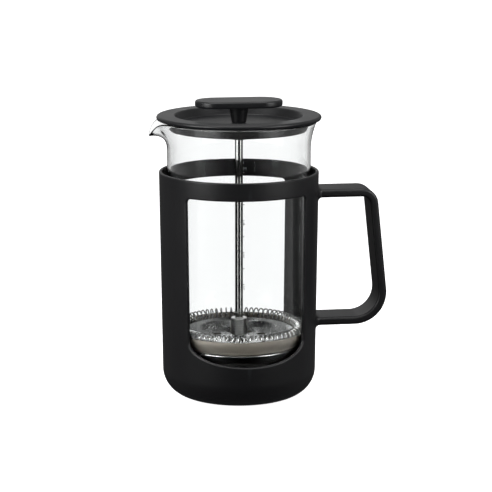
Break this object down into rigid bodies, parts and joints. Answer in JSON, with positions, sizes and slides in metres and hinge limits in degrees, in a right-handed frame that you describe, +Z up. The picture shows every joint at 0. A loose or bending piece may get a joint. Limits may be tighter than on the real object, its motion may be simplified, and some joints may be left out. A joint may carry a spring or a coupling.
{
  "type": "french press",
  "caption": "Cylindrical glass beaker with a pouring spout in a black windowed holder with a loop handle, a dished lid and a knob on a rod that pushes a sprung mesh filter down.",
  "frame": {"origin": "centre of the flat underside of the holder, on the table", "axes": "+Z up along the beaker's axis; +X towards the handle; -X towards the pouring spout; the holder's windows face -Y and +Y"},
  "size_m": [0.1401, 0.0962, 0.1754],
  "materials": {
    "holder_plastic": "satin moulded black polypropylene",
    "lid_plastic": "satin moulded black polypropylene, a little smoother than the holder",
    "beaker_glass": "clear heat-resistant glass",
    "steel": "polished stainless steel",
    "wire_mesh": "fine woven stainless wire mesh"
  },
  "bodies": {
    "base": {"holder": "holder_plastic", "handle": "holder_plastic"},
    "glass": {"beaker": "beaker_glass"},
    "cover": {"lid": "lid_plastic"},
    "plunger": {"knob": "lid_plastic", "rod": "steel", "hub": "steel", "star_washer": "steel", "spring_plate": "steel", "coil_spring": "steel", "mesh_filter": "wire_mesh", "screen_plate": "steel", "lock_nut": "steel"}
  },
  "joints": [
    {"name": "beaker_lift", "type": "slide", "parent": "base", "child": "glass", "axis": [0, 0, 1], "range_m": [0, 0.14]},
    {"name": "lid_lift", "type": "slide", "parent": "glass", "child": "cover", "axis": [0, 0, 1], "range_m": [0, 0.14]},
    {"name": "plunger_slide", "type": "slide", "parent": "cover", "child": "plunger", "axis": [0, 0, 1], "range_m": [0, 0.1065]}
  ]
}
